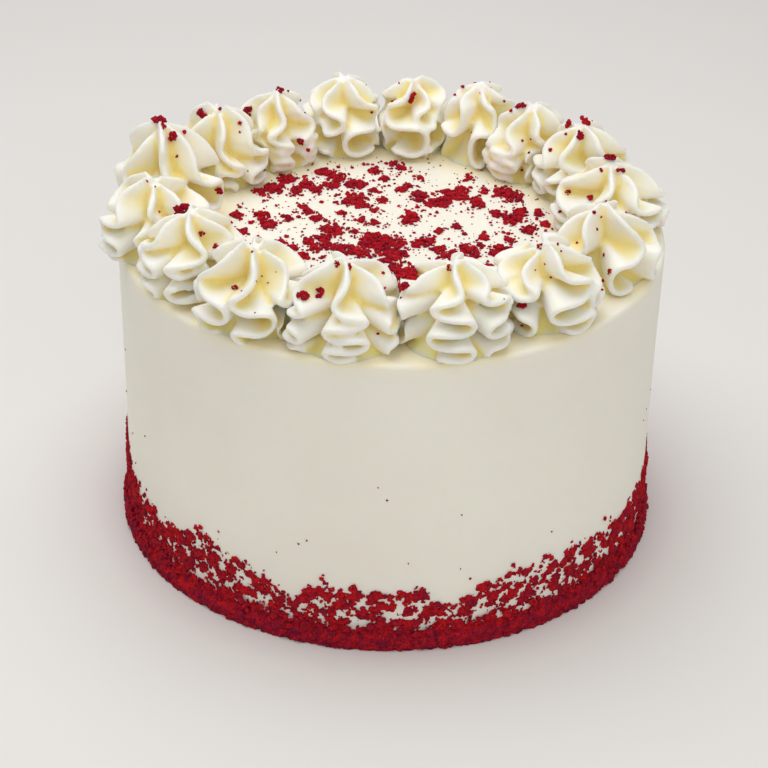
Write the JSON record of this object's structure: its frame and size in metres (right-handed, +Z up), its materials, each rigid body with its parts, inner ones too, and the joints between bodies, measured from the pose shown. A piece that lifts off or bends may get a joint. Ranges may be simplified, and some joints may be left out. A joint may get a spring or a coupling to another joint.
{
  "type": "red velvet cake",
  "caption": "Tall round iced cake with a ring of ruffled piped dollops on its rim, cake crumbs on top and a crumb band round its foot.",
  "frame": {"origin": "centre of the cake's flat base, on the surface that it stands on", "axes": "+Z up through the cake's middle; -Y towards the viewer of the picture, +X to the right"},
  "size_m": [0.2284, 0.2293, 0.1673],
  "materials": {
    "icing": "smooth satin cream cheese icing",
    "piped_cream": "smooth satin piped icing",
    "crumbs": "rough moist cake crumbs"
  },
  "bodies": {
    "root": {"cake": "icing", "dollop_01": "piped_cream", "dollop_02": "piped_cream", "dollop_03": "piped_cream", "dollop_04": "piped_cream", "dollop_05": "piped_cream", "dollop_06": "piped_cream", "dollop_07": "piped_cream", "dollop_08": "piped_cream", "dollop_09": "piped_cream", "dollop_10": "piped_cream", "dollop_11": "piped_cream", "dollop_12": "piped_cream", "dollop_13": "piped_cream", "dollop_14": "piped_cream", "dollop_15": "piped_cream", "dollop_16": "piped_cream"}
  },
  "joints": []
}
